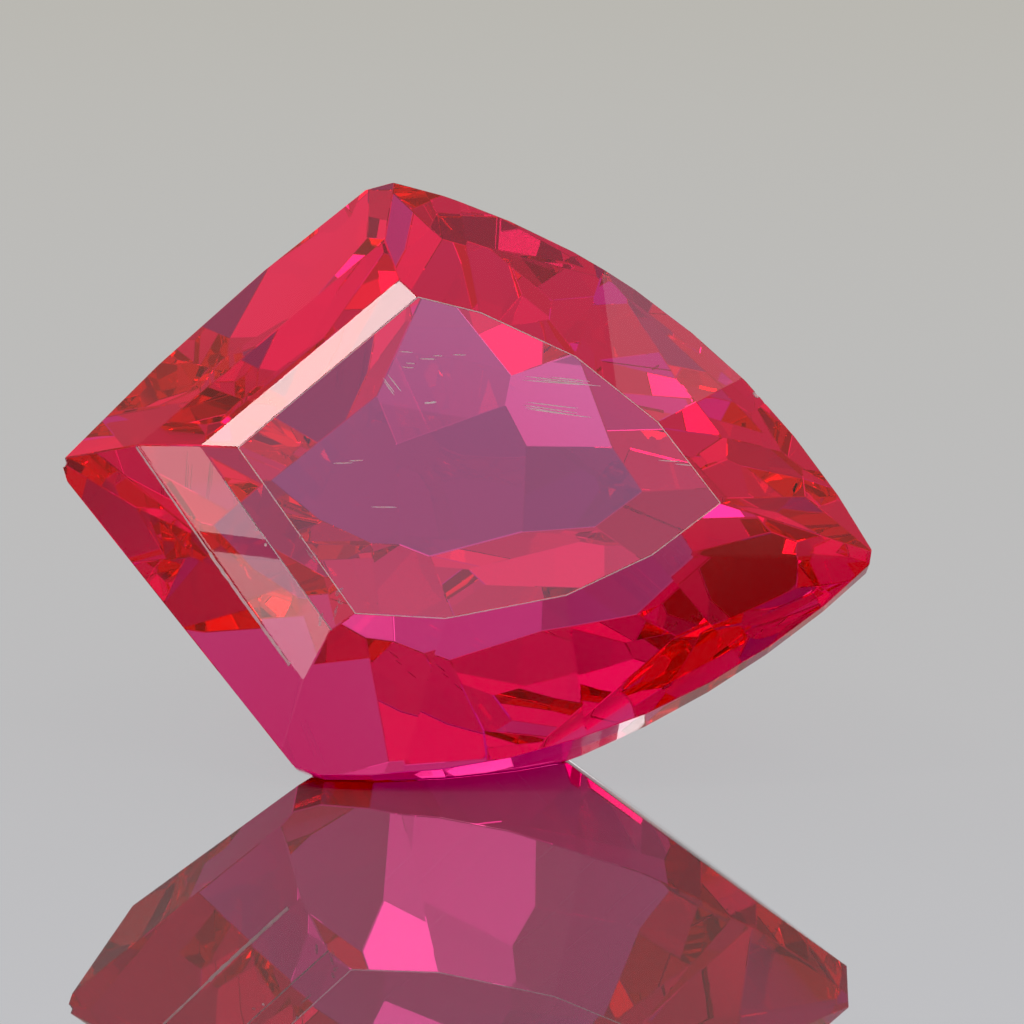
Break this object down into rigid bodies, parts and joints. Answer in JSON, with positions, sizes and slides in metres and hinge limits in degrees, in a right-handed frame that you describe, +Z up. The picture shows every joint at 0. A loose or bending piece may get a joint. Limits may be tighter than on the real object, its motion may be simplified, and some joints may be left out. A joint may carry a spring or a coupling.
{
  "type": "faceted gemstone",
  "caption": "Loose pinkish-red faceted sapphire in a kite outline, resting on a steep lower facet with its table to the front.",
  "frame": {"origin": "on the surface that the stone rests on, under the middle of its box", "axes": "+Z up, -Y towards the viewer who sees the table, +X to the viewer's right, where the pointed tip is"},
  "size_m": [0.01, 0.006, 0.007],
  "materials": {
    "corundum": "clear pinkish-red corundum, polished facets with a few fine scratches on the table"
  },
  "bodies": {
    "root": {"sapphire": "corundum"}
  },
  "joints": []
}
